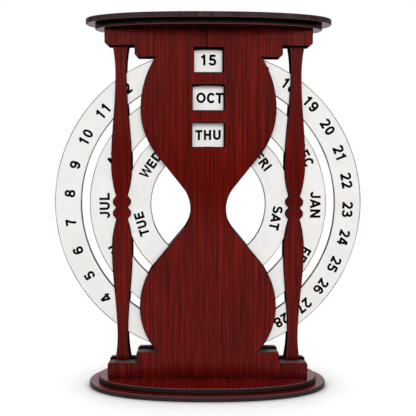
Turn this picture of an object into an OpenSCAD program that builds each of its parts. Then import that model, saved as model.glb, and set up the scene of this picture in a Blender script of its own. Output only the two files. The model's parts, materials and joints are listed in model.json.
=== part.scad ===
// Perpetual desk calendar in the shape of an hourglass.
// Flat boards stand between two pairs of oval plates. Three numbered rings turn in a slot behind the
// hourglass and show one date, one month and one weekday in its windows.
// X runs to the right, Y from the front to the back and Z up. The origin is on the underside, below the
// middle of the stack of boards. Lengths are in millimetres.

/* [Boards] */
// Thickness of every board
sheet = 3; // [2.5:0.1:4]
// Thickness of the card shim behind each guide, which is the play of the rings in their slot
shim = 0.6; // [0.4:0.1:1]

/* [Panels] */
// Height of the board that is left below the date ring's round cut
bottom_wall = 11.75; // [10:0.05:15]
// Height of the board that is left above the date ring's round cut
top_wall = 10.35; // [10:0.05:15]
// Width of the outer steps
outer_step_w = 121.7; // [115:0.1:130]
// Height of the outer steps
outer_step_h = 9.4; // [7:0.1:12]
// Width of the inner steps
inner_step_w = 86.8; // [84:0.1:92]
// Height of the inner steps
inner_step_h = 16; // [14:0.1:19]
// Radius of the steps' outer corners
step_round = 1.4; // [0.5:0.1:2]

/* [Hourglass] */
// Depth of the waist below the rings' axis
waist_drop = 1.7; // [0:0.1:4]
// Width of the waist
waist_w = 21.4; // [16:0.1:26]
// Radius of the hollow at the waist
waist_r = 20; // [14:0.1:23]
// Width of the upper bulb
upper_bulb_w = 80.2; // [74:0.1:83]
// Distance of the upper bulb's widest place from the upper steps
upper_crown_h = 30.2; // [25:0.1:34]
// Radius of the upper bulb between its widest place and the waist
upper_flank_r = 43.6; // [38:0.1:45]
// Radius of the upper bulb between its widest place and the steps
upper_crown_r = 55; // [48:0.1:70]
// Width of the lower bulb
lower_bulb_w = 82.2; // [76:0.1:84]
// Distance of the lower bulb's widest place from the lower steps
lower_crown_h = 27.5; // [24:0.1:32]
// Radius of the lower bulb between its widest place and the waist
lower_flank_r = 44.5; // [38:0.1:46]
// Radius of the lower bulb between its widest place and the steps
lower_crown_r = 41.5; // [38:0.1:60]

/* [Rings] */
// Outer radius of the date ring
date_ring_r = 92.9; // [91:0.1:94]
// Width of each ring, from its hole to its rim
ring_w = 16; // [14:0.1:17]
// Gap between one ring and the next
ring_gap = 5.1; // [4.5:0.1:7]
// Running gap between a ring and the guides at its rim and in its hole
ring_clearance = 0.35; // [0.3:0.05:0.6]

/* [Windows] */
// Width of the date window
date_window_w = 17.2; // [14:0.1:20]
// Height of the date window
date_window_h = 14.3; // [12:0.1:15]
// Height of the date window's middle above the middle of the date ring's band
date_window_lift = 1.1; // [0:0.1:1.5]
// Width of the month window
month_window_w = 18.8; // [15:0.1:22]
// Height of the month window
month_window_h = 14.8; // [12:0.1:15]
// Height of the month window's middle above the middle of the month ring's band
month_window_lift = 0.3; // [-0.5:0.1:0.7]
// Width of the weekday window
weekday_window_w = 19.2; // [15:0.1:22]
// Height of the weekday window
weekday_window_h = 14.2; // [12:0.1:15]
// Height of the weekday window's middle above the middle of the weekday ring's band
weekday_window_lift = -0.6; // [-1:0.1:0.5]
// Lip of the boards behind the front panel at the right side of each window
window_lip = 0.5; // [0:0.1:1]

/* [Guides] */
// How far the boards in the slot stay back from the edge of the panels
guide_inset = 2; // [1:0.1:3]
// Half of the angle that a date guide spans
date_guide_angle = 28; // [15:1:29]
// Half of the angle that a month guide spans
month_guide_angle = 38; // [20:1:40]

/* [Plates] */
// Length of the large plates
plate_w = 144.8; // [136:0.1:160]
// Depth of the large plates
plate_d = 68.2; // [60:0.1:90]
// Margin that a large plate shows around a small one
plate_margin = 5.4; // [3:0.1:8]
// Fullness of the plates' outline, where 2 is a plain ellipse
plate_fullness = 2.25; // [2:0.05:3]

/* [Columns] */
// Width of a column at its two swellings
swell_w = 12.4; // [10:0.1:14]
// Distance of each swelling's widest place from the waist
swell_at = 25.5; // [18:0.1:35]
// Width of a column at its two slender places
slender_w = 6.4; // [5:0.1:8]
// Distance of each slender place from the tread of the outer steps
slender_gap = 15.5; // [8:0.1:25]
// Width of a column at its foot and its head
foot_w = 9.3; // [7:0.1:12]
// Width of the two beads at the waist
bead_w = 11.5; // [9:0.1:13]
// Height of one bead
bead_h = 7; // [5:0.1:9]
// Radius of a bead's nose
bead_r = 1.8; // [1:0.1:2]
// Width of the notches above, between and below the beads
notch_w = 6.8; // [5:0.1:8]

/* [Tenons] */
// Width of the tenons at the ends of the panels
tenon_w = 18; // [10:0.1:24]
// Distance of each tenon's middle from the middle of the panel
tenon_x = 30; // [20:0.1:40]
// Clearance around a tenon in its slot
tenon_clearance = 0.1; // [0.05:0.05:0.3]

/* [Hidden] */
$fn = 96;
arc_step = 3;
plate_points = 144;
swell_points = 10;
taper_points = 16;

panel_z = 2 * sheet;
date_cut_r = date_ring_r + ring_clearance;
panel_h = bottom_wall + 2 * date_cut_r + top_wall;
panel_top = panel_z + panel_h;

slot_d = sheet + shim;
stack_d = 4 * sheet + slot_d;
front_y = -stack_d / 2;
backing_y = front_y + sheet;
mid_y = backing_y + sheet;
slot_y = mid_y + sheet;
back_y = slot_y + slot_d;
ring_y = slot_y + shim / 2;

axis_z = panel_z + bottom_wall + date_cut_r;
date_hole_r = date_ring_r - ring_w;
month_ring_r = date_hole_r - ring_gap;
month_hole_r = month_ring_r - ring_w;
weekday_ring_r = month_hole_r - ring_gap;
weekday_hole_r = weekday_ring_r - ring_w;

waist_z = axis_z - panel_z - waist_drop;
low_z = inner_step_h + lower_crown_h;
high_z = panel_h - inner_step_h - upper_crown_h;
column_x = (outer_step_w + inner_step_w) / 4;
cut_over = 0.5;

// Points of an arc from angle a to angle b
function arc(x, z, r, a, b) =
    let (steps = max(2, ceil(abs(b - a) / arc_step)))
    [for (i = [0:steps]) let (angle = a + (b - a) * i / steps) [x + r * cos(angle), z + r * sin(angle)]];

function reversed(points) = [for (i = [len(points) - 1:-1:0]) points[i]];

// A closed outline from its right side, listed from the bottom to the top
function both_sides(side) = concat(side, [for (p = reversed(side)) [-p[0], p[1]]]);

// The same side turned upside down within a board of height h
function upside_down(side, h) = reversed([for (p = side) [p[0], h - p[1]]]);

// Angle on the waist's circle at which the straight flank to a bulb leaves it
function flank_angle(waist_x, waist_radius, bulb_x, bulb_radius, rise) =
    let (reach = norm([bulb_x - waist_x, rise]))
    atan2(rise, bulb_x - waist_x) + acos(min(1, (waist_radius + bulb_radius) / reach));

// Radius of a bulb's flank. Where the bulb is close to the waist, it is the one that still meets the hollow.
function flank_radius(radius, bulb_w, waist_x, rise) =
    let (run = bulb_w / 2 - waist_x)
    min(radius, (run * run + rise * rise - waist_r * waist_r) / (2 * (waist_r + run)));

// Right side of the hourglass between the treads of its steps, set in from the panel's edge
function hourglass_side(inset) =
    let (
        waist_x = waist_w / 2 + waist_r,
        hollow_r = waist_r + inset,
        low_drop = waist_z - low_z,
        high_rise = high_z - waist_z,
        low_flank_r = flank_radius(lower_flank_r, lower_bulb_w, waist_x, low_drop),
        high_flank_r = flank_radius(upper_flank_r, upper_bulb_w, waist_x, high_rise),
        low_flank_x = lower_bulb_w / 2 - low_flank_r,
        low_crown_x = lower_bulb_w / 2 - lower_crown_r,
        high_flank_x = upper_bulb_w / 2 - high_flank_r,
        high_crown_x = upper_bulb_w / 2 - upper_crown_r,
        low_angle = flank_angle(waist_x, waist_r, low_flank_x, low_flank_r, low_drop),
        high_angle = flank_angle(waist_x, waist_r, high_flank_x, high_flank_r, high_rise),
        low_start = asin((inner_step_h - inset - low_z) / (lower_crown_r - inset)),
        high_end = asin((panel_h - inner_step_h + inset - high_z) / (upper_crown_r - inset))
    )
    concat(
        arc(low_crown_x, low_z, lower_crown_r - inset, low_start, 0),
        arc(low_flank_x, low_z, low_flank_r - inset, 0, 180 - low_angle),
        arc(waist_x, waist_z, hollow_r, 360 - low_angle, high_angle),
        arc(high_flank_x, high_z, high_flank_r - inset, high_angle - 180, 0),
        arc(high_crown_x, high_z, upper_crown_r - inset, 0, high_end)
    );

// Right side of one block of steps that stands on its wide end
function outer_step_side(inset) =
    let (w = outer_step_w / 2 - inset, h = outer_step_h - inset)
    concat([[w, 0]], arc(w - step_round, h - step_round, step_round, 0, 90));

function inner_step_side(inset) =
    let (w = inner_step_w / 2 - inset, h = inner_step_h - inset)
    arc(w - step_round, h - step_round, step_round, 0, 90);

function steps_side(inset) =
    concat(
        outer_step_side(inset),
        [[inner_step_w / 2 - inset, outer_step_h - inset]],
        inner_step_side(inset)
    );

function panel_side() =
    concat(steps_side(0), hourglass_side(0), upside_down(steps_side(0), panel_h));

function mid_board_side() =
    let (steps = concat([[inner_step_w / 2 - guide_inset, 0]], inner_step_side(guide_inset)))
    concat(steps, hourglass_side(guide_inset), upside_down(steps, panel_h));

// Right side of a column, from its waist up to a plate at the given distance
function column_side(reach) =
    let (
        nose_x = bead_w / 2 - bead_r,
        to_notch = [notch_w / 2 - nose_x, -bead_h / 2],
        nose_angle = atan2(to_notch[1], to_notch[0]) + acos(min(1, bead_r / norm(to_notch))),
        swell_rise = (swell_w - notch_w) / 2,
        swell_run = swell_at - bead_h,
        swell_r = (swell_run * swell_run + swell_rise * swell_rise) / (2 * swell_rise),
        slender_at = reach - outer_step_h - slender_gap,
        flare_rise = (foot_w - slender_w) / 2,
        flare_r = (slender_gap * slender_gap + flare_rise * flare_rise) / (2 * flare_rise)
    )
    concat(
        [[notch_w / 2, 0]],
        arc(nose_x, bead_h / 2, bead_r, nose_angle, -nose_angle),
        [for (i = [0:swell_points - 1])
            let (s = swell_run * (1 - i / swell_points))
            [swell_w / 2 - swell_r + sqrt(swell_r * swell_r - s * s), swell_at - s]],
        [for (i = [0:taper_points])
            let (t = i / taper_points)
            [slender_w / 2 + (swell_w - slender_w) / 4 * (1 + cos(180 * t)), swell_at + (slender_at - swell_at) * t]],
        [for (i = [1:swell_points])
            let (s = slender_gap * i / swell_points)
            [slender_w / 2 + flare_r - sqrt(flare_r * flare_r - s * s), slender_at + s]],
        [[foot_w / 2, reach]]
    );

function column_outline() =
    let (
        upper = column_side(panel_h - waist_z),
        lower = [for (p = reversed(column_side(waist_z))) [p[0], -p[1]]]
    )
    both_sides(concat(lower, upper));

// Outline of a plate, a fuller oval than an ellipse
function oval(length, depth) =
    [for (i = [0:plate_points - 1])
        let (angle = 360 * i / plate_points, c = cos(angle), s = sin(angle), power = 2 / plate_fullness)
        [length / 2 * sign(c) * pow(abs(c), power), depth / 2 * sign(s) * pow(abs(s), power)]];

// Stands a flat shape up as a board whose front face is at y
module board(y, thickness = sheet) {
    translate([0, y + thickness, panel_z])
        rotate([90, 0, 0])
            linear_extrude(thickness)
                children();
}

// The two tenons at the lower end and the two at the upper end of a panel
module tenons() {
    for (x = [-tenon_x, tenon_x], z = [-sheet, panel_h])
        translate([x - tenon_w / 2, z])
            square([tenon_w, sheet]);
}

module panel_shape() {
    union() {
        polygon(both_sides(panel_side()));
        tenons();
    }
}

// The back panel, with a pair of columns cut in one piece with it behind the two free ones
module back_panel_shape() {
    union() {
        panel_shape();
        for (x = [-column_x, column_x])
            translate([x, waist_z])
                polygon(column_outline());
    }
}

// One window around a place on a ring's band, with its right side moved in by the lip
module window(w, h, band_r, lip) {
    translate([-w / 2, axis_z - panel_z + band_r - h / 2])
        square([w - lip, h]);
}

module windows(lip) {
    window(date_window_w, date_window_h, date_ring_r - ring_w / 2 + date_window_lift, lip);
    window(month_window_w, month_window_h, month_ring_r - ring_w / 2 + month_window_lift, lip);
    window(weekday_window_w, weekday_window_h, weekday_ring_r - ring_w / 2 + weekday_window_lift, lip);
}

// An oval plate that lies at height z
module plate(z, margin) {
    translate([0, 0, z])
        linear_extrude(sheet)
            polygon(oval(plate_w - 2 * margin, plate_d - 2 * margin));
}

// A small plate at height z, with slots for the tenons
module slotted_plate(z) {
    difference() {
        plate(z, plate_margin);
        for (x = [-tenon_x, tenon_x]) {
            tenon_slot(x, z, front_y, 2 * sheet);
            tenon_slot(x, z, back_y, sheet);
        }
    }
}

module tenon_slot(x, z, y, depth) {
    translate([x - tenon_w / 2 - tenon_clearance, y - tenon_clearance, z - cut_over])
        cube([tenon_w + 2 * tenon_clearance, depth + 2 * tenon_clearance, sheet + 2 * cut_over]);
}

// A flat ring with its rim and its hole on the rings' axis
module ring(rim_r, hole_r) {
    translate([0, ring_y + sheet, axis_z])
        rotate([90, 0, 0])
            difference() {
                cylinder(h = sheet, r = rim_r);
                translate([0, 0, -cut_over])
                    cylinder(h = sheet + 2 * cut_over, r = hole_r);
            }
}

// A block of steps in the slot, hollowed out around the date ring. The lower block stands on the lower
// plates and the upper one hangs from the upper plates.
module end_guide_shape(upper) {
    difference() {
        if (upper)
            polygon(both_sides(upside_down(steps_side(guide_inset), panel_h)));
        else
            polygon(both_sides(steps_side(guide_inset)));
        translate([0, axis_z - panel_z])
            circle(r = date_cut_r);
    }
}

// An arc between two rings, from the rim of the inner ring to the hole of the outer one. It points up, or
// down where turn is 180.
module arc_guide(rim_r, hole_r, half_angle, turn, y, thickness) {
    translate([0, y + thickness, axis_z])
        rotate([90, 0, 0])
            rotate([0, 0, 90 + turn - half_angle])
                rotate_extrude(angle = 2 * half_angle)
                    translate([rim_r + ring_clearance, 0])
                        square([hole_r - rim_r - 2 * ring_clearance, thickness]);
}

module date_arc(turn, y, thickness) {
    arc_guide(month_ring_r, date_hole_r, date_guide_angle, turn, y, thickness);
}

module month_arc(turn, y, thickness) {
    arc_guide(weekday_ring_r, month_hole_r, month_guide_angle, turn, y, thickness);
}

module centre_guide_shape() {
    intersection() {
        polygon(both_sides(hourglass_side(guide_inset)));
        translate([0, axis_z - panel_z])
            circle(r = weekday_hole_r - ring_clearance);
    }
}

module column(x) {
    translate([x, 0, waist_z])
        board(mid_y)
            polygon(column_outline());
}

module base_plate_large() {
    color([0.25, 0.09, 0.09])
        plate(0, 0);
}

module base_plate_small() {
    color([0.3, 0.08, 0.08])
        slotted_plate(sheet);
}

module top_plate_small() {
    color([0.3, 0.08, 0.08])
        slotted_plate(panel_top);
}

module top_plate_large() {
    color([0.25, 0.09, 0.09])
        plate(panel_top + sheet, 0);
}

module front_panel() {
    color([0.38, 0.1, 0.09])
        board(front_y)
            difference() {
                panel_shape();
                windows(0);
            }
}

module front_backing() {
    color([0.16, 0.1, 0.09])
        board(backing_y)
            difference() {
                panel_shape();
                windows(window_lip);
            }
}

module mid_board() {
    color([0.13, 0.09, 0.08])
        board(mid_y)
            difference() {
                polygon(both_sides(mid_board_side()));
                windows(window_lip);
            }
}

module back_panel() {
    color([0.34, 0.09, 0.08])
        board(back_y)
            back_panel_shape();
}

module left_column() {
    color([0.36, 0.09, 0.09])
        column(-column_x);
}

module right_column() {
    color([0.36, 0.09, 0.09])
        column(column_x);
}

module date_ring() {
    color([0.93, 0.92, 0.9])
        ring(date_ring_r, date_hole_r);
}

module month_ring() {
    color([0.93, 0.92, 0.9])
        ring(month_ring_r, month_hole_r);
}

module weekday_ring() {
    color([0.93, 0.92, 0.9])
        ring(weekday_ring_r, weekday_hole_r);
}

module top_guide() {
    color([0.2, 0.14, 0.11])
        board(slot_y)
            end_guide_shape(true);
}

module bottom_guide() {
    color([0.2, 0.14, 0.11])
        board(slot_y)
            end_guide_shape(false);
}

module upper_date_guide() {
    color([0.2, 0.14, 0.11])
        date_arc(0, slot_y, sheet);
}

module lower_date_guide() {
    color([0.2, 0.14, 0.11])
        date_arc(180, slot_y, sheet);
}

module upper_month_guide() {
    color([0.2, 0.14, 0.11])
        month_arc(0, slot_y, sheet);
}

module lower_month_guide() {
    color([0.2, 0.14, 0.11])
        month_arc(180, slot_y, sheet);
}

module centre_guide() {
    color([0.2, 0.14, 0.11])
        board(slot_y)
            centre_guide_shape();
}

module top_shim() {
    color([0.55, 0.45, 0.33])
        board(slot_y + sheet, shim)
            end_guide_shape(true);
}

module bottom_shim() {
    color([0.55, 0.45, 0.33])
        board(slot_y + sheet, shim)
            end_guide_shape(false);
}

module upper_date_shim() {
    color([0.55, 0.45, 0.33])
        date_arc(0, slot_y + sheet, shim);
}

module lower_date_shim() {
    color([0.55, 0.45, 0.33])
        date_arc(180, slot_y + sheet, shim);
}

module upper_month_shim() {
    color([0.55, 0.45, 0.33])
        month_arc(0, slot_y + sheet, shim);
}

module lower_month_shim() {
    color([0.55, 0.45, 0.33])
        month_arc(180, slot_y + sheet, shim);
}

module centre_shim() {
    color([0.55, 0.45, 0.33])
        board(slot_y + sheet, shim)
            centre_guide_shape();
}

base_plate_large();
base_plate_small();
top_plate_small();
top_plate_large();
front_panel();
front_backing();
mid_board();
back_panel();
left_column();
right_column();
date_ring();
month_ring();
weekday_ring();
top_guide();
bottom_guide();
upper_date_guide();
lower_date_guide();
upper_month_guide();
lower_month_guide();
centre_guide();
top_shim();
bottom_shim();
upper_date_shim();
lower_date_shim();
upper_month_shim();
lower_month_shim();
centre_shim();
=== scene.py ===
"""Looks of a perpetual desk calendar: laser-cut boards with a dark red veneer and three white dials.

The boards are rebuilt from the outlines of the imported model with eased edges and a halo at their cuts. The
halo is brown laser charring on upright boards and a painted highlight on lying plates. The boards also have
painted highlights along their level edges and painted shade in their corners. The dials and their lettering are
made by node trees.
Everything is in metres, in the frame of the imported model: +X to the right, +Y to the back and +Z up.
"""

import json
import logging
import math
from collections.abc import Sequence
from dataclasses import dataclass, field
from enum import Enum, IntEnum
from typing import Any

import bmesh
import bpy
from bpy.types import ID, Material, Mesh, Node, NodeSocket, NodeTree, Object
from mathutils import Matrix, Vector
from mathutils.geometry import delaunay_2d_cdt, tessellate_polygon

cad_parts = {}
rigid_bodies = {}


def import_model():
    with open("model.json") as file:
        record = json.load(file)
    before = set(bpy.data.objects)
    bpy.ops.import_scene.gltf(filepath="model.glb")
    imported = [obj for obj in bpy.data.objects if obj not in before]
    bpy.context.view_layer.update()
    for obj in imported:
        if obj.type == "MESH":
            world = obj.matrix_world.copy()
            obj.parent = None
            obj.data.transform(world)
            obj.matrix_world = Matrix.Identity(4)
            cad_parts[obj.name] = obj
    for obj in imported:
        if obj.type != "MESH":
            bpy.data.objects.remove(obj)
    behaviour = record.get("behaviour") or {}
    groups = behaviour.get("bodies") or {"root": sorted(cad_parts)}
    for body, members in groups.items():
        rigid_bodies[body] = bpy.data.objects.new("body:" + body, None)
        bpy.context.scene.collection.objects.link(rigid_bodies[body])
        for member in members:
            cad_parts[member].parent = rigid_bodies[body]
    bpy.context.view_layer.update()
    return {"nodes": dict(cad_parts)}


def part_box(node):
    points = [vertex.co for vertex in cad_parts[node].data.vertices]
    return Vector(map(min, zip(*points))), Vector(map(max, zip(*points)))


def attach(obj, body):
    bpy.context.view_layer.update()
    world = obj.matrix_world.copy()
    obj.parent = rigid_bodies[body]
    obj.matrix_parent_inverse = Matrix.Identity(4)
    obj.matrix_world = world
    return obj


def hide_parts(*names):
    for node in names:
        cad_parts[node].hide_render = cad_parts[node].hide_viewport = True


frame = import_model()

LOG = logging.getLogger("desk_calendar")
MM = 0.001
Point = tuple[float, float]
Range = tuple[float, float]
Colour = tuple[float, float, float, float]


class Slot(Enum):
    """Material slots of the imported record."""

    OVAL_PLATE = "oval_plate"
    VENEERED_BOARD = "veneered_board"
    PLAIN_BOARD = "plain_board"
    WHITE_RING = "white_ring"
    CARD_SHIM = "card_shim"


class Axis(Enum):
    """An axis of the frame that a board may lie across or a grain may follow, by its index."""

    Y = 1
    Z = 2


def colour(red: float, green: float, blue: float) -> Colour:
    """Turn a display colour into the linear colour that shaders take.

    Args:
        red: Red from 0 to 255.
        green: Green from 0 to 255.
        blue: Blue from 0 to 255.

    Returns:
        The linear colour with full alpha.
    """
    shares = (value / 255 for value in (red, green, blue))
    linear = [s / 12.92 if s <= 0.04045 else ((s + 0.055) / 1.055) ** 2.4 for s in shares]
    return (linear[0], linear[1], linear[2], 1.0)


# ---- Node trees ----

FLOAT = "NodeSocketFloat"
VECTOR = "NodeSocketVector"
GEOMETRY = "NodeSocketGeometry"
MATERIAL = "NodeSocketMaterial"
COLLECTION = "NodeSocketCollection"

# The way in which a seed moves a noise
SEED_WAY = (1.0, 0.7, 1.3)


@dataclass(frozen=True)
class Layer:
    """One layer of soft noise: its seed, its sizes as shares of the pattern's, and its finer noise."""

    seed: float
    wide: float = 1.0
    long: float = 1.0
    detail: float = 1.0
    rough: float = 0.5


class Graph:
    """A node tree with short calls for its nodes. It serves shader trees, their groups and geometry trees."""

    def __init__(self, tree: NodeTree) -> None:
        """Keep the tree that the calls add to."""
        self.tree = tree

    def put(self, socket: NodeSocket, value: Any) -> None:
        """Link a socket to an output, or set its own value.

        Args:
            socket: The input socket.
            value: An output socket, or a plain value.
        """
        if isinstance(value, NodeSocket):
            self.tree.links.new(value, socket)
        else:
            socket.default_value = value

    def feed(self, made: Node, **values: Any) -> None:
        """Link or set inputs of a node, by their names with underscores for spaces."""
        for key, value in values.items():
            self.put(made.inputs[key.replace("_", " ")], value)

    def node(self, kind: str, inputs: dict[str | int, Any] | None = None, **settings: Any) -> Node:
        """Add a node.

        Args:
            kind: Blender's name for the kind of node.
            inputs: Values or outputs for its inputs, by name or number.
            **settings: The node's own properties.

        Returns:
            The node.
        """
        made = self.tree.nodes.new(kind)
        for name, value in settings.items():
            setattr(made, name, value)
        for key, value in (inputs or {}).items():
            self.put(made.inputs[key], value)
        return made

    def out(self, kind: str, inputs: dict[str | int, Any] | None = None, **settings: Any) -> Any:
        """Add a node and return its first output."""
        return self.node(kind, inputs, **settings).outputs[0]

    def math(self, operation: str, a: Any, b: Any = 0.0, clamp: bool = False) -> NodeSocket:
        """Add a step on numbers and return its output."""
        return self.out("ShaderNodeMath", {0: a, 1: b}, operation=operation, use_clamp=clamp)

    def plus(self, a: Any, b: Any) -> NodeSocket:
        """Add two numbers."""
        return self.math("ADD", a, b)

    def minus(self, a: Any, b: Any, clamp: bool = False) -> NodeSocket:
        """Subtract the second number from the first."""
        return self.math("SUBTRACT", a, b, clamp)

    def times(self, a: Any, b: Any, clamp: bool = False) -> NodeSocket:
        """Multiply two numbers."""
        return self.math("MULTIPLY", a, b, clamp)

    def vector_math(self, operation: str, a: Any, b: Any) -> NodeSocket:
        """Add a step on vectors and return its output."""
        return self.out("ShaderNodeVectorMath", {0: a, 1: b}, operation=operation)

    def axis_distance(self, place: Any, centre: Any) -> NodeSocket:
        """Return how far a place is from the line along Y through a centre."""
        flat = self.vector_math("MULTIPLY", self.vector_math("SUBTRACT", place, centre), (1.0, 0.0, 1.0))
        return self.node("ShaderNodeVectorMath", {0: flat}, operation="LENGTH").outputs["Value"]

    def remap(self, value: Any, low: float, high: float, to_low: Any = 0.0, to_high: Any = 1.0) -> Any:
        """Spread the values between low and high smoothly over another range, and hold them at its ends."""
        inputs = {0: value, 1: low, 2: high, 3: to_low, 4: to_high}
        return self.out("ShaderNodeMapRange", inputs, interpolation_type="SMOOTHSTEP")

    def choose(self, share: Any, a: Any, b: Any) -> NodeSocket:
        """Go evenly from one number to another with a share from 0 to 1."""
        return self.out("ShaderNodeMapRange", {0: share, 3: a, 4: b})

    def mix(self, share: Any, a: Any, b: Any) -> NodeSocket:
        """Mix two colours and return the mixed one."""
        return self.node("ShaderNodeMix", {0: share, 6: a, 7: b}, data_type="RGBA").outputs[2]

    def noise(self, vector: Any, across: Any, along: Any, layer: Layer) -> NodeSocket:
        """Make soft noise, stretched along Z.

        Args:
            vector: The place.
            across: The width of the pattern's features in X and Y.
            along: Their length in Z.
            layer: The layer of the pattern.

        Returns:
            The noise.
        """
        wide = self.math("DIVIDE", 1.0, self.times(across, layer.wide))
        long = self.math("DIVIDE", 1.0, self.times(along, layer.long))
        scale = self.out("ShaderNodeCombineXYZ", {0: wide, 1: wide, 2: long})
        moved = tuple(layer.seed * share for share in SEED_WAY)
        place = self.vector_math("ADD", self.vector_math("MULTIPLY", vector, scale), moved)
        inputs = {"Vector": place, "Scale": 1.0, "Detail": layer.detail, "Roughness": layer.rough}
        return self.out("ShaderNodeTexNoise", inputs)


class Group(Graph):
    """A node group or geometry tree with named inputs and outputs."""

    def __init__(self, name: str, kind: str, inputs: dict[str, Any], outputs: dict[str, str]) -> None:
        """Start the tree.

        Args:
            name: The tree's name.
            kind: "ShaderNodeTree" or "GeometryNodeTree".
            inputs: The default number of each input, or its socket type.
            outputs: The socket type of each output.
        """
        super().__init__(bpy.data.node_groups.new(name, kind))
        number_types = {float: "NodeSocketFloat", int: "NodeSocketInt"}
        for label, value in inputs.items():
            socket_type = number_types.get(type(value), value)
            socket = self.tree.interface.new_socket(label, in_out="INPUT", socket_type=socket_type)
            if type(value) in number_types:
                socket.default_value = value
        for label, socket_type in outputs.items():
            self.tree.interface.new_socket(label, in_out="OUTPUT", socket_type=socket_type)
        self.given = {socket.name: socket for socket in self.node("NodeGroupInput").outputs}
        self.end = self.node("NodeGroupOutput")

    def give(self, *values: NodeSocket) -> NodeTree:
        """Link the outputs in their order.

        Args:
            *values: What each output gives.

        Returns:
            The tree.
        """
        for socket, value in zip(self.end.inputs, values):
            self.put(socket, value)
        return self.tree

    def layer(self, across: Any, along: Any, layer: Layer) -> NodeSocket:
        """Make a layer of noise on the group's vector."""
        return self.noise(self.given["Vector"], across, along, layer)


def effect(name: str, numbers: dict[str, float], outputs: Sequence[str]) -> Group:
    """Start a shader group on a vector and some numbers, which gives numbers."""
    return Group(name, "ShaderNodeTree", {"Vector": VECTOR} | numbers, dict.fromkeys(outputs, FLOAT))


def veneer_grain() -> NodeTree:
    """Build the grain of veneer, which runs along Z of its vector.

    Returns:
        A group that gives the tone of the streaks, the dark pores, broad bands and a height.
    """
    sizes = {"Streak Width": 0.9 * MM, "Streak Length": 45 * MM}
    graph = effect("veneer_grain", sizes, ("Streaks", "Pores", "Bands", "Height"))
    size = [graph.given[label] for label in sizes]
    coarse = graph.layer(*size, Layer(seed=3.1, detail=2.0, rough=0.6))
    fine = graph.layer(*size, Layer(seed=11.3, wide=0.45, long=0.4))
    broad = graph.layer(*size, Layer(seed=5.7, wide=12.0, long=3.0))
    specks = graph.layer(*size, Layer(seed=23.9, wide=0.38, long=0.09))
    coarse_share, fine_share = 0.68, 0.32
    sharp = graph.remap(coarse, low=0.34, high=0.68)
    streaks = graph.plus(graph.times(sharp, coarse_share), graph.times(fine, fine_share))
    bands = graph.remap(broad, low=0.3, high=0.7)
    pores = graph.remap(specks, low=0.6, high=0.72)
    return graph.give(streaks, pores, bands, graph.minus(streaks, pores))


def cut_scorch() -> NodeTree:
    """Build the uneven halo beside a cut: brown laser charring on upright boards and dials, and a painted
    highlight on the lying plates and eased edges.

    Returns:
        A group that turns a mask, which is 1 at the cut, into an uneven halo.
    """
    graph = effect("cut_scorch", {"Mask": 0.0, "Patch Size": 2.5 * MM}, ("Burn",))
    patch = graph.given["Patch Size"]
    uneven = graph.layer(patch, patch, Layer(seed=7.7, detail=2.0, rough=0.6))
    reach = graph.remap(uneven, low=0.3, high=0.7, to_low=0.55, to_high=1.35)
    fall = 1.35
    return graph.give(graph.times(graph.math("POWER", graph.given["Mask"], fall), reach, clamp=True))


def cut_striation() -> NodeTree:
    """Build the fine lines that a laser leaves through the thickness, along Z of the vector.

    Returns:
        A group that gives the lines' tone and their height.
    """
    graph = effect("cut_striation", {"Pitch": 0.28 * MM}, ("Lines", "Height"))
    size = graph.given["Pitch"], 12 * MM
    lines = graph.layer(*size, Layer(seed=1.9))
    wide = graph.layer(*size, Layer(seed=8.3, wide=22.0, detail=2.0))
    line_share, wide_share = 0.6, 0.4
    tone = graph.plus(graph.times(lines, line_share), graph.times(wide, wide_share))
    return graph.give(graph.remap(tone, low=0.3, high=0.7), lines)


def soft_mottle() -> NodeTree:
    """Build the soft unevenness of a paint, board or card.

    Returns:
        A group that gives a broad tone and a fine height.
    """
    sizes = {"Patch Size": 9 * MM, "Speck Size": 0.35 * MM}
    graph = effect("soft_mottle", sizes, ("Tone", "Height"))
    patch, speck = (graph.given[label] for label in sizes)
    tone = graph.layer(patch, patch, Layer(seed=4.4, detail=3.0, rough=0.6))
    height = graph.layer(speck, speck, Layer(seed=6.1, detail=2.0, rough=0.6))
    return graph.give(graph.remap(tone, low=0.3, high=0.7), height)


@dataclass(frozen=True)
class SharedEffects:
    """The shader groups that several finishes share. Each is built once."""

    grain: NodeTree = field(default_factory=veneer_grain)
    scorch: NodeTree = field(default_factory=cut_scorch)
    striation: NodeTree = field(default_factory=cut_striation)
    mottle: NodeTree = field(default_factory=soft_mottle)


# ---- Finishes ----

# Turns that bring an axis of the object to Z of a pattern's vector
TO_PATTERN_Z = {Axis.Y: (math.radians(90), 0.0, 0.0), Axis.Z: (0.0, 0.0, 0.0)}
BLACK = (0.0, 0.0, 0.0, 1.0)
WHITE = (1.0, 1.0, 1.0, 1.0)

# Names of the attributes of a board's points: how near they lie to a cut, for the halo of charring and painted
# highlight, and whether they edge a level cut, which gets a painted highlight
HALO_MASK = "scorch"
LEVEL_EDGE = "level_edge"


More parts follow.
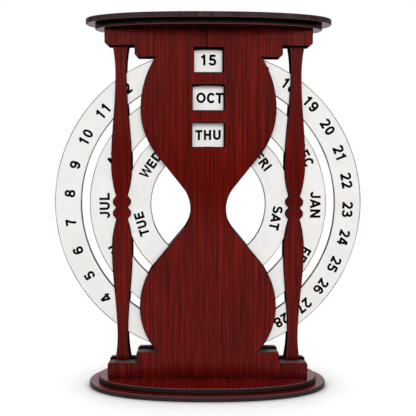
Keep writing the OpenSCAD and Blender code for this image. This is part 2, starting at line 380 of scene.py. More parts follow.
class MaterialGraph(Graph):
    """The nodes of one material: a Principled shader, and the object's coordinates turned for a pattern."""

    def __init__(self, name: str, lengthwise: Axis = Axis.Z, **fixed: Any) -> None:
        """Start the material.

        Args:
            name: The material's name.
            lengthwise: The axis of the object that becomes Z of the pattern's vector.
            **fixed: Plain values for the shader's sockets, with underscores for spaces.
        """
        self.material = bpy.data.materials.new(name)
        self.material.use_nodes = True
        self.material.node_tree.nodes.clear()
        super().__init__(self.material.node_tree)
        self.shader = self.node("ShaderNodeBsdfPrincipled")
        self.feed(self.shader, **fixed)
        self.node("ShaderNodeOutputMaterial", {"Surface": self.shader.outputs[0]})
        place = self.node("ShaderNodeTexCoord").outputs["Object"]
        self.vector = self.out("ShaderNodeMapping", {"Vector": place, "Rotation": TO_PATTERN_Z[lengthwise]})

    def shared(self, group: NodeTree, **values: Any) -> Sequence[NodeSocket]:
        """Place a shared effect on the pattern's vector.

        Args:
            group: The effect's group.
            **values: Its other inputs, with underscores for spaces.

        Returns:
            The group's outputs.
        """
        made = self.node("ShaderNodeGroup", node_tree=group)
        self.feed(made, Vector=self.vector, **values)
        return made.outputs

    def attribute(self, name: str) -> NodeSocket:
        """Return a number that the mesh carries."""
        return self.node("ShaderNodeAttribute", attribute_name=name).outputs["Fac"]

    def open_sky(self, reach: float, samples: int) -> NodeSocket:
        """Return the share of open sky within a reach, which is small in corners."""
        corner = self.node("ShaderNodeAmbientOcclusion", {"Distance": reach}, samples=samples)
        return corner.outputs["AO"]

    def paint_corner_shade(self, tone: Any, reach: float, shade: Any, opened: Sequence[float]) -> NodeSocket:
        """Paint shade into a colour in corners, where less light reaches.

        Args:
            tone: The colour's output.
            reach: How far from a corner it starts, in metres.
            shade: The share of black deep in a corner.
            opened: The shares of open sky where the shade is full and where it ends.

        Returns:
            The darkened colour.
        """
        share = self.remap(self.open_sky(reach, samples=24), *opened, shade, 0.0)
        return self.mix(share, tone, BLACK)

    def relief(self, height: Any, depth: float, strength: float) -> None:
        """Give the shader a bump of a depth in metres, of which a share shows."""
        inputs = {"Height": height, "Distance": depth, "Strength": strength}
        self.put(self.shader.inputs["Normal"], self.out("ShaderNodeBump", inputs))


@dataclass(frozen=True)
class Finish:
    """What the finishes of the calendar have: a name and the shared effects."""

    name: str
    effects: SharedEffects


@dataclass(frozen=True)
class VeneerFinish(Finish):
    """Dark red satin veneer with fine streaks, small pores, painted shade in corners and a halo at the cuts.

    The halo is brown laser charring on upright boards and a painted highlight on the lying plates. Where a cut
    faces up or down the halo is left out, a painted highlight along those edges.
    """

    lengthwise: Axis = Axis.Z
    light: Colour = colour(122, 17, 6)
    middle: Colour = colour(90, 10, 4)
    dark: Colour = colour(56, 6, 3)
    # Colour of the halo at the cuts: brown laser charring here; the lying plates set a light pink, a painted
    # highlight.
    burnt: Colour = colour(30, 9, 8)
    streak_width: float = 0.62 * MM
    streak_length: float = 42 * MM
    dark_streaks: Range = (0.12, 0.52)
    light_streaks: Range = (0.5, 0.88)
    gloss_streaks: Range = (0.2, 0.8)
    band_share: float = 0.3
    pore_share: float = 0.6
    specular: float = 0.12
    gloss_low: float = 0.14
    gloss_high: float = 0.2
    burnt_gloss: float = 0.25
    # Painted shade in corners: strongest at the foot, easing to a share of it at the head.
    corner_reach: float = 15 * MM
    corner_shade: float = 0.55
    corner_open: Range = (0.45, 1.0)
    foot_to_head: Range = (60 * MM, 160 * MM)
    head_share: float = 0.3
    burn_patch: float = 2.5 * MM

    def material(self) -> Material:
        """Build the material.

        Returns:
            The material.
        """
        graph = MaterialGraph(self.name, self.lengthwise, Specular_IOR_Level=self.specular)
        sizes = {"Streak_Width": self.streak_width, "Streak_Length": self.streak_length}
        streaks, pores, bands, height = graph.shared(self.effects.grain, **sizes)
        red = graph.mix(graph.remap(streaks, *self.dark_streaks), self.dark, self.middle)
        red = graph.mix(graph.remap(streaks, *self.light_streaks), red, self.light)
        red = graph.mix(graph.times(bands, self.band_share), red, self.middle)
        red = graph.mix(graph.times(pores, self.pore_share), red, self.dark)
        # Painted shade in corners, stronger towards the foot than the head.
        rise = graph.node("ShaderNodeSeparateXYZ", {0: graph.vector}).outputs[2]
        shade = graph.remap(rise, *self.foot_to_head, self.corner_shade, self.corner_shade * self.head_share)
        red = graph.paint_corner_shade(red, self.corner_reach, shade, self.corner_open)
        # Halo beside the cuts, left out where a cut faces up or down as a painted highlight on those edges.
        mask = {"Mask": graph.attribute(HALO_MASK), "Patch_Size": self.burn_patch}
        burn = graph.shared(self.effects.scorch, **mask)[0]
        burn = graph.minus(burn, graph.attribute(LEVEL_EDGE), clamp=True)
        gloss = graph.remap(streaks, *self.gloss_streaks, self.gloss_high, self.gloss_low)
        rough = graph.plus(gloss, graph.times(burn, self.burnt_gloss))
        graph.feed(graph.shader, Base_Color=graph.mix(burn, red, self.burnt), Roughness=rough)
        graph.relief(height, depth=0.05 * MM, strength=0.35)
        return graph.material


@dataclass(frozen=True)
class CutEdgeFinish(Finish):
    """The charred side that a laser leaves through a board's thickness, with a painted highlight at its level
    corners and painted shade in its corners.
    """

    through: Axis = Axis.Y
    light: Colour = colour(72, 54, 57)
    dark: Colour = colour(34, 25, 27)
    # Painted highlight where the cut meets a face that looks up or down.
    worn: Colour = colour(150, 84, 80)
    rough_line: float = 0.5
    smooth_line: float = 0.4
    specular: float = 0.2
    # Painted shade in corners, used by the head plates and the upward cuts.
    corner_reach: float = 8 * MM
    corner_shade: float = 0.0
    corner_open: Range = (0.59, 0.68)

    def material(self) -> Material:
        """Build the material.

        Returns:
            The material.
        """
        graph = MaterialGraph(self.name, self.through, Specular_IOR_Level=self.specular)
        lines, height = graph.shared(self.effects.striation)
        tone = graph.mix(lines, self.dark, self.light)
        # Painted shade in corners.
        tone = graph.paint_corner_shade(tone, self.corner_reach, self.corner_shade, self.corner_open)
        # Painted highlight along the level corners.
        base = graph.mix(graph.attribute(LEVEL_EDGE), tone, self.worn)
        rough = graph.remap(lines, 0.0, 1.0, self.rough_line, self.smooth_line)
        graph.feed(graph.shader, Base_Color=base, Roughness=rough)
        graph.relief(height, depth=0.06 * MM, strength=0.5)
        return graph.material


@dataclass(frozen=True)
class PlainFaceFinish(Finish):
    """A plain face with faint mottling and a halo beside its cuts: bare fibreboard, card and ink with brown
    charring, and the plates' eased edges with a painted highlight.
    """

    light: Colour
    dark: Colour
    burnt: Colour = colour(34, 24, 20)
    patch: float = 6 * MM
    burn_patch: float = 2.5 * MM
    specular: float = 0.02
    dark_rough: float = 0.75
    light_rough: float = 0.63
    relief_depth: float = 0.04 * MM
    relief_strength: float = 0.5

    def mask(self, graph: MaterialGraph) -> NodeSocket:
        """Return the mask of the halo, which is 1 at the cuts."""
        return graph.attribute(HALO_MASK)

    def material(self) -> Material:
        """Build the material.

        Returns:
            The material.
        """
        graph = MaterialGraph(self.name, Specular_IOR_Level=self.specular)
        spots, height = graph.shared(self.effects.mottle, Patch_Size=self.patch)
        burn = graph.shared(self.effects.scorch, Mask=self.mask(graph), Patch_Size=self.burn_patch)[0]
        base = graph.mix(burn, graph.mix(spots, self.dark, self.light), self.burnt)
        rough = graph.remap(spots, 0.0, 1.0, self.dark_rough, self.light_rough)
        graph.feed(graph.shader, Base_Color=base, Roughness=rough)
        if self.relief_strength:
            graph.relief(height, self.relief_depth, self.relief_strength)
        return graph.material


@dataclass(frozen=True, kw_only=True)
class DialFaceFinish(PlainFaceFinish):
    """White lacquered board of one dial, with a thin tan line where the laser cut its rim and its hole."""

    axis: Vector
    rim_radius: float
    hole_radius: float
    light: Colour = colour(243, 242, 240)
    dark: Colour = colour(238, 236, 233)
    burnt: Colour = colour(106, 74, 60)
    patch: float = 14 * MM
    burn_patch: float = 18 * MM
    specular: float = 0.25
    dark_rough: float = 0.46
    light_rough: float = 0.38
    relief_depth: float = 0.015 * MM
    relief_strength: float = 0.4
    line_core: float = 0.2 * MM
    line_width: float = 0.72 * MM

    def mask(self, graph: MaterialGraph) -> NodeSocket:
        """Return the mask of the line, which is 1 at the rim and at the hole.

        Args:
            graph: The nodes of the material.

        Returns:
            The mask.
        """
        radius = graph.axis_distance(graph.vector, tuple(self.axis))
        from_rim = graph.minus(self.rim_radius, radius)
        from_cut = graph.math("MINIMUM", from_rim, graph.minus(radius, self.hole_radius))
        return graph.remap(from_cut, self.line_core, self.line_width, 1.0, 0.0)


@dataclass(frozen=True)
class FloorFinish:
    """Matt white sweep that the calendar stands on."""

    name: str
    white: Colour = (0.42, 0.42, 0.42, 1.0)
    bounced: Colour = (0.18, 0.18, 0.18, 1.0)
    glow: float = 0.77
    mirrored_glow: float = 0.48
    shade_reach: float = 40 * MM
    shade_power: float = 2.8

    def material(self) -> Material:
        """Build the material, which throws only a little soft light back on the calendar.

        It glows for the camera and in reflections, dimmed near the calendar as a painted contact shadow.

        Returns:
            The material.
        """
        graph = MaterialGraph(self.name, Roughness=1.0, Specular_IOR_Level=0.0, Emission_Color=WHITE)
        path = graph.node("ShaderNodeLightPath").outputs
        base = graph.mix(path["Is Diffuse Ray"], self.white, self.bounced)
        # Painted contact shadow: the glow fades where the floor sees little open sky near the calendar.
        shaded = graph.math("POWER", graph.open_sky(self.shade_reach, samples=8), self.shade_power)
        mirrored = graph.times(path["Is Glossy Ray"], self.mirrored_glow)
        seen = graph.times(path["Is Camera Ray"], self.glow)
        glow = graph.times(graph.plus(mirrored, seen), shaded)
        graph.feed(graph.shader, Base_Color=base, Emission_Strength=glow)
        graph.material.cycles.emission_sampling = "NONE"
        return graph.material


def tones(light: tuple, dark: tuple, **others: Any) -> dict[str, Any]:
    """Gather the values of a finish: its light and dark as display colours, and others as they are."""
    return {"light": colour(*light), "dark": colour(*dark)} | others


@dataclass
class FinishSet:
    """Every material of the calendar, built once."""

    effects: SharedEffects
    ink: Material
    upright_veneer: Material
    lying_veneer: Material
    under_veneer: Material
    upright_cut: Material
    upright_ledge: Material
    foot_cut: Material
    step_cut: Material
    head_cut: Material
    window_cut: Material
    inner_cut: Material
    dial_cut: Material
    inner_face: Material
    worn_ease: Material
    card: Material

    @classmethod
    def build(cls) -> "FinishSet":
        """Build the shared effects and all the materials.

        Returns:
            The set.
        """
        # Lying plates: a lighter copy of the veneer as painted light from above, a light pink halo at the rims
        # as a painted highlight, and painted shade in corners.
        lying = {"lengthwise": Axis.Y, "middle": colour(118, 15, 11), "burnt": colour(120, 52, 48)}
        lying |= {"specular": 0.5, "corner_reach": 6 * MM, "corner_shade": 0.8, "burn_patch": 15 * MM}
        # Undersides of the head plates: a darker copy of the veneer, painted shade.
        under = {"lengthwise": Axis.Y, "middle": colour(32, 2, 2)}
        under |= {"specular": 0.05, "gloss_low": 0.07, "gloss_high": 0.1}
        # Upward cuts: light grey as a painted sheen, with painted shade in corners.
        ledge = {"specular": 0.07, "corner_shade": 1.0, "corner_open": (0.55, 0.85)}
        # Head plates' cuts: a lighter lit copy, with painted shade under the overhang of the large plate.
        head = {"through": Axis.Z, "specular": 0.05, "corner_shade": 1.0, "corner_open": (0.64, 0.8)}
        print_look = {"patch": 0.8 * MM, "specular": 0.04, "dark_rough": 0.5, "light_rough": 0.62}
        print_look |= {"relief_strength": 0.0}
        veneers = {
            "upright_veneer": ("upright_red_veneer", {}),
            "lying_veneer": ("lying_red_veneer", tones((157, 24, 16), (79, 9, 7), **lying)),
            "under_veneer": ("under_red_veneer", tones((44, 3, 2), (20, 2, 1), **under)),
        }
        # One charred cut edge in lit and shaded copies: the step edge darker than the foot edge as painted
        # shade, the upright and window cuts near black partly as painted shade, and the window cut's level
        # corners with a painted highlight.
        cuts = {
            "upright_cut": ("upright_cut_edge", tones((24, 17, 18), (11, 8, 8), specular=0.0)),
            "upright_ledge": ("upright_ledge", tones((106, 95, 98), (78, 70, 72), **ledge)),
            "foot_cut": ("foot_cut_edge", tones((46, 30, 35), (22, 14, 17), through=Axis.Z, specular=0.35)),
            "step_cut": ("step_cut_edge", tones((28, 19, 22), (13, 9, 10), through=Axis.Z, specular=0.3)),
            "head_cut": ("head_cut_edge", tones((76, 58, 60), (37, 28, 29), **head)),
            "window_cut": (
                "window_cut_edge",
                tones((16, 11, 10), (7, 5, 5), worn=colour(40, 22, 20), specular=0.0),
            ),
            "inner_cut": ("inner_cut_edge", tones((26, 19, 18), (10, 8, 8), specular=0.0)),
            "dial_cut": ("dial_cut_edge", tones((58, 42, 35), (26, 18, 15))),
        }
        faces = {
            "inner_face": ("stained_fibreboard", tones((15, 11, 11), (7, 5, 5))),
            # Eased edges of the plates: a painted highlight.
            "worn_ease": ("worn_ease", tones((118, 78, 74), (90, 58, 56), burnt=colour(100, 64, 60))),
            "card": ("brown_card", tones((168, 140, 104), (146, 118, 86))),
            "ink": ("black_ink", tones((9, 8, 8), (3, 3, 3), **print_look)),
        }
        effects = SharedEffects()
        made = {}
        for kind, table in ((VeneerFinish, veneers), (CutEdgeFinish, cuts), (PlainFaceFinish, faces)):
            for key, (name, values) in table.items():
                made[key] = kind(name, effects, **values).material()
        return cls(effects, **made)


# ---- Boards ----


class Face(IntEnum):
    """The material slots of a board's mesh, in the order of the fields of BoardFaces."""

    LOW = 0
    EDGE = 1
    HIGH = 2
    LOW_EASE = 3
    HIGH_EASE = 4
    WINDOW = 5
    LEDGE = 6


# The slots of the strips from a board's low face to its high face, round its outline and round a window
OUTER_STRIPS = (Face.LOW, Face.LOW_EASE, Face.EDGE, Face.HIGH_EASE, Face.HIGH)
WINDOW_STRIPS = (Face.LOW, Face.WINDOW, Face.WINDOW, Face.WINDOW, Face.HIGH)
LEDGE_FROM = (Face.EDGE, Face.LOW_EASE, Face.HIGH_EASE)

# The CAD body of everything that doesn't turn
FRAME_BODY = "frame"


@dataclass(frozen=True)
class BoardFaces:
    """The materials of a board's faces, cut edge, eased corners, windows' cuts and upward cuts."""

    low: Material
    edge: Material
    high: Material
    low_ease: Material | None = None
    high_ease: Material | None = None
    window: Material | None = None
    ledge: Material | None = None

    def slots(self) -> list[Material]:
        """List the materials in the order of their slots. One that isn't given is the cut edge's."""
        given = (self.low, self.edge, self.high, self.low_ease, self.high_ease, self.window, self.ledge)
        return [material or self.edge for material in given]


def linked(name: str, data: ID) -> Object:
    """Make an object at the origin and link it to the scene.

    Args:
        name: The object's name.
        data: Its mesh, lamp or camera.

    Returns:
        The object.
    """
    made = bpy.data.objects.new(name, data)
    bpy.context.scene.collection.objects.link(made)
    return made


def mesh_of(name: str, shape: bmesh.types.BMesh, materials: Sequence[Material]) -> Mesh:
    """Turn a shape into a mesh, and free it.

    Args:
        name: The mesh's name.
        shape: The shape.
        materials: The materials in the order of their slots.

    Returns:
        The mesh.
    """
    mesh = bpy.data.meshes.new(name)
    shape.to_mesh(mesh)
    shape.free()
    for material in materials:
        mesh.materials.append(material)
    return mesh


def stand_in(piece: Object, node: str, body: str) -> None:
    """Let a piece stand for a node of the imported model.

    Args:
        piece: The piece.
        node: The node.
        body: The CAD body that the piece rides on.
    """
    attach(piece, body)
    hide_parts(node)
    LOG.info("%s stands for %s: %d faces", piece.name, node, len(piece.data.polygons))


@dataclass
class BoardMaker:
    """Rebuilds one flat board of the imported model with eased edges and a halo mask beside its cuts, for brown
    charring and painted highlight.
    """

    node: str
    through: Axis
    faces: BoardFaces
    ease: float = 0.18 * MM
    hole_ease: float = 0.18 * MM
    halo: float = 0.7 * MM
    merge_distance: float = 1e-6
    smooth_angle: float = math.radians(30)
    ledge_rise: float = 0.6
    low_share: float = 0.25

    def flat(self, place: Vector) -> Point:
        """Return a point's place in the board's plane."""
        return (place.x, place.z) if self.through is Axis.Y else (place.x, place.y)

    def solid(self, place: Point, level: float) -> Vector:
        """Return the point of space at a place in the board's plane and a level through its thickness."""
        x, other = place
        return Vector((x, level, other)) if self.through is Axis.Y else Vector((x, other, level))

    def outlines(self) -> tuple[list[list[Point]], float, float]:
        """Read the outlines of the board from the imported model.

        Returns:
            The loops, each with the board's material on its left, and the board's low and high levels.
        """
        shape = bmesh.new()
        shape.from_mesh(frame["nodes"][self.node].data)
        bmesh.ops.remove_doubles(shape, verts=shape.verts, dist=self.merge_distance)
        axis = self.through.value
        low, high = (corner[axis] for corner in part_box(self.node))
        near = low + (high - low) * self.low_share
        low_faces = [face for face in shape.faces if all(vert.co[axis] < near for vert in face.verts)]
        after = {}
        for face in low_faces:
            for loop in face.loops:
                if not any(other in low_faces for other in loop.edge.link_faces if other is not face):
                    after[loop.vert] = loop.link_loop_next.vert
        loops = []
        while after:
            first = next(iter(after))
            walk = [first]
            while (following := after.pop(walk[-1])) is not first:
                walk.append(following)
            points = [self.flat(vert.co) for vert in walk]
            loops.append(points if self.through is Axis.Y else points[::-1])
        shape.free()
        return [self.straightened(points) for points in loops], low, high

    @staticmethod
    def straightened(points: list[Point], tolerance: float = 1e-9) -> list[Point]:
        """Drop the points of a loop that lie on the straight line between their neighbours.

        Args:
            points: The loop.
            tolerance: The cross product of a point's two sides up to which they count as one line.

        Returns:
            The points that are left.
        """
        kept = []
        for index, point in enumerate(points):
            before, after = points[index - 1], points[(index + 1) % len(points)]
            one = Vector(point) - Vector(before)
            two = Vector(after) - Vector(point)
            if abs(one.cross(two)) > tolerance:
                kept.append(point)
        return kept

    @staticmethod
    def inset(points: list[Point], distance: float, sharpest: float = 0.25) -> list[Point]:
        """Move a loop into the material on its left.

        Args:
            points: The loop.
            distance: How far it moves.
            sharpest: The least divisor of a corner's mitre.

        Returns:
            The moved loop, with as many points.
        """
        moved = []
        for index, point in enumerate(points):
            here = Vector(point)
            one = (here - Vector(points[index - 1])).normalized()
            two = (Vector(points[(index + 1) % len(points)]) - here).normalized()
            left_one, left_two = Vector((-one.y, one.x)), Vector((-two.y, two.x))
            mitre = (left_one + left_two) / max(sharpest, 1 + left_one.dot(left_two))
            moved.append(tuple(here + mitre * distance))
        return moved

    def level_edges(self, points: list[Point], least: float = 0.9) -> list[float]:
        """Mark the points of an upright board's loop whose cut faces straight up or down.

        Args:
            points: The loop.
            least: The least rise of a cut's normal that counts.

        Returns:
            1 for each marked point and 0 for the others.
        """
        if self.through is Axis.Z:
            return [0.0] * len(points)
        pairs = zip(points, self.inset(points, self.ease))
        outwards = [Vector(here) - Vector(inner) for here, inner in pairs]
        return [1.0 if abs(way.normalized().y) > least else 0.0 for way in outwards]

    def rings_of(self, points: list[Point], is_hole: bool, low: float, high: float) -> list[tuple]:
        """List a loop's copies from the low face over the edge to the high face.

        Args:
            points: The loop.
            is_hole: Whether the loop is a window or slot.
            low: The board's low level.
            high: The board's high level.

        Returns:
            The points, level and halo mask of each copy.
        """
        ease = self.hole_ease if is_hole else self.ease
        inner, rim = self.inset(points, ease + self.halo), self.inset(points, ease)
        below = [(inner, low, 0.0), (rim, low, 1.0), (points, low + ease, 1.0)]
        return below + [(points, high - ease, 1.0), (rim, high, 1.0), (inner, high, 0.0)]

    def build(self, name: str) -> Object:
        """Build the board.

        Args:
            name: The new piece's name.

        Returns:
            The piece, at the origin, with its place in its mesh.
        """
        loops, low, high = self.outlines()
        areas = [sum(a[0] * b[1] - b[0] * a[1] for a, b in zip(loop, loop[1:] + loop[:1])) for loop in loops]
        outer = max(range(len(loops)), key=lambda index: abs(areas[index]))
        shape = bmesh.new()
        scorch, level_edge = (shape.verts.layers.float.new(label) for label in (HALO_MASK, LEVEL_EDGE))
        caps = ([], [])
        for index, loop in enumerate(loops):
            made = []
            # Points whose cut faces up or down, which get a painted highlight.
            worn = self.level_edges(loop)
            slots = WINDOW_STRIPS if index != outer and self.faces.window else OUTER_STRIPS
            for points, level, burn in self.rings_of(loop, index != outer, low, high):
                made.append([shape.verts.new(self.solid(point, level)) for point in points])
                for vert, share in zip(made[-1], worn):
                    vert[scorch] = burn
                    vert[level_edge] = share if burn and (level == low or level == high) else 0.0
            for slot, ring, following in zip(slots, made, made[1:]):
                for i in range(len(ring)):
                    corners = (ring[i - 1], ring[i], following[i], following[i - 1])
                    shape.faces.new(corners).material_index = slot
            caps[0].append(made[0])
            caps[1].append(made[-1])
        for rings, slot in zip(caps, (Face.LOW, Face.HIGH)):
            flat = [[Vector((*self.flat(vert.co), 0.0)) for vert in ring] for ring in rings]
            verts = [vert for ring in rings for vert in ring]
            for triangle in tessellate_polygon(flat):
                shape.faces.new([verts[i] for i in triangle]).material_index = slot
        bmesh.ops.recalc_face_normals(shape, faces=shape.faces)
        for face in shape.faces:
            face.smooth = True
            # Cuts that face up get the ledge material, a painted sheen.
            if self.faces.ledge and face.material_index in LEDGE_FROM and face.normal.z > self.ledge_rise:
                face.material_index = Face.LEDGE
        mesh = mesh_of(name, shape, self.faces.slots())
        mesh.set_sharp_from_angle(angle=self.smooth_angle)
        return linked(name, mesh)

    def place(self, look: str, slot: Slot) -> None:
        """Build the board as a piece of the frame, named for its look, and let it stand for its node."""
        stand_in(self.build(f"{look}_{self.node}"), self.node, FRAME_BODY)


@dataclass
class OvalPlates:
    """The two pairs of oval plates at the foot and the head."""

    finishes: FinishSet
    ease: float = 0.35 * MM
    slot_ease: float = 0.03 * MM

    def build(self) -> None:
        """Build the four plates. Those at the foot have a bare underside."""
        done = self.finishes
        # Undersides of the head plates get the darker veneer copy, painted shade.
        lows = {"base": done.inner_face, "top": done.under_veneer}
        # The small base plate's cut is the darker copy, painted shade.
        cuts = {
            "base_plate_large": done.foot_cut,
            "base_plate_small": done.step_cut,
            "top_plate_small": done.head_cut,
            "top_plate_large": done.head_cut,
        }
        # The base plates' upper ease and the head plates' lower ease carry a painted highlight.
        eases = {"base": (done.inner_face, done.worn_ease), "top": (done.worn_ease, done.head_cut)}
        for node, cut in cuts.items():
            end = node.split("_")[0]
            faces = BoardFaces(lows[end], cut, done.lying_veneer, *eases[end])
            maker = BoardMaker(node, Axis.Z, faces, ease=self.ease, hole_ease=self.slot_ease)
            maker.place("veneered", Slot.OVAL_PLATE)


@dataclass
class HourglassPanels:
    """The hourglass boards: the veneered front and back, and the two boards between them."""

    finishes: FinishSet

    def build(self) -> None:
        """Build the four boards."""
        done = self.finishes
        # Upward cuts get the ledge material, a painted sheen with painted shade in corners.
        extra = {"window": done.window_cut, "ledge": done.upright_ledge}
        front = BoardFaces(done.upright_veneer, done.upright_cut, done.inner_face, **extra)
        inner = BoardFaces(done.inner_face, done.inner_cut, done.inner_face, window=done.window_cut)
        backing = BoardFaces(done.inner_face, done.inner_cut, done.inner_face, **extra)
        back = BoardFaces(done.inner_face, done.upright_cut, done.upright_veneer, ledge=done.upright_ledge)
        BoardMaker("front_panel", Axis.Y, front).place("veneered", Slot.VENEERED_BOARD)
        BoardMaker("front_backing", Axis.Y, backing).place("stained", Slot.PLAIN_BOARD)
        BoardMaker("mid_board", Axis.Y, inner).place("stained", Slot.PLAIN_BOARD)
        BoardMaker("back_panel", Axis.Y, back).place("veneered", Slot.VENEERED_BOARD)


@dataclass
class BalusterColumns:
    """The two flat balusters beside the hourglass."""

    finishes: FinishSet

    def build(self) -> None:
        """Build both columns."""
        done = self.finishes
        faces = BoardFaces(done.upright_veneer, done.upright_cut, done.upright_veneer)
        for node in ("left_column", "right_column"):
            BoardMaker(node, Axis.Y, faces).place("veneered", Slot.VENEERED_BOARD)


@dataclass
class RingGuides:
    """The spacers that the dials turn on, each with a card shim behind it."""

    finishes: FinishSet
    places: str = "top bottom upper_date lower_date upper_month lower_month centre"
    shim_ease: float = 0.05 * MM

    def build(self) -> None:
        """Build the guides and the shims."""
        done = self.finishes
        board = BoardFaces(done.inner_face, done.inner_cut, done.inner_face)
        card = BoardFaces(done.card, done.card, done.card)
        for place in self.places.split():
            BoardMaker(f"{place}_guide", Axis.Y, board).place("stained", Slot.PLAIN_BOARD)
            shim = BoardMaker(f"{place}_shim", Axis.Y, card, ease=self.shim_ease, hole_ease=self.shim_ease)
            shim.place("card", Slot.CARD_SHIM)


# ---- Lettering ----


# The longest stretch of an arc that is drawn as one line, in degrees
BOW_STEP = 12.0


def bow(x: float, z: float, wide: float, tall: float, start: float, end: float) -> list[Point]:
    """List the points of an elliptical arc.

    Args:
        x: Centre, to the right.
        z: Centre, upwards.
        wide: Half width of the ellipse.
        tall: Half height of the ellipse.
        start: First angle in degrees.
        end: Last angle in degrees.

    Returns:
        The points.
    """
    count = max(2, math.ceil(abs(end - start) / BOW_STEP))
    angles = (math.radians(start + (end - start) * i / count) for i in range(count + 1))
    return [(x + wide * math.cos(a), z + tall * math.sin(a)) for a in angles]


@dataclass(frozen=True)
class Glyph:
    """One character of height 1, as strokes along their middle lines.

    A stroke may run past the height of the character, where it is cut off flat.
    """

    width: float
    strokes: tuple[list[Point], ...]
    left: float = 0.1
    right: float = 0.1


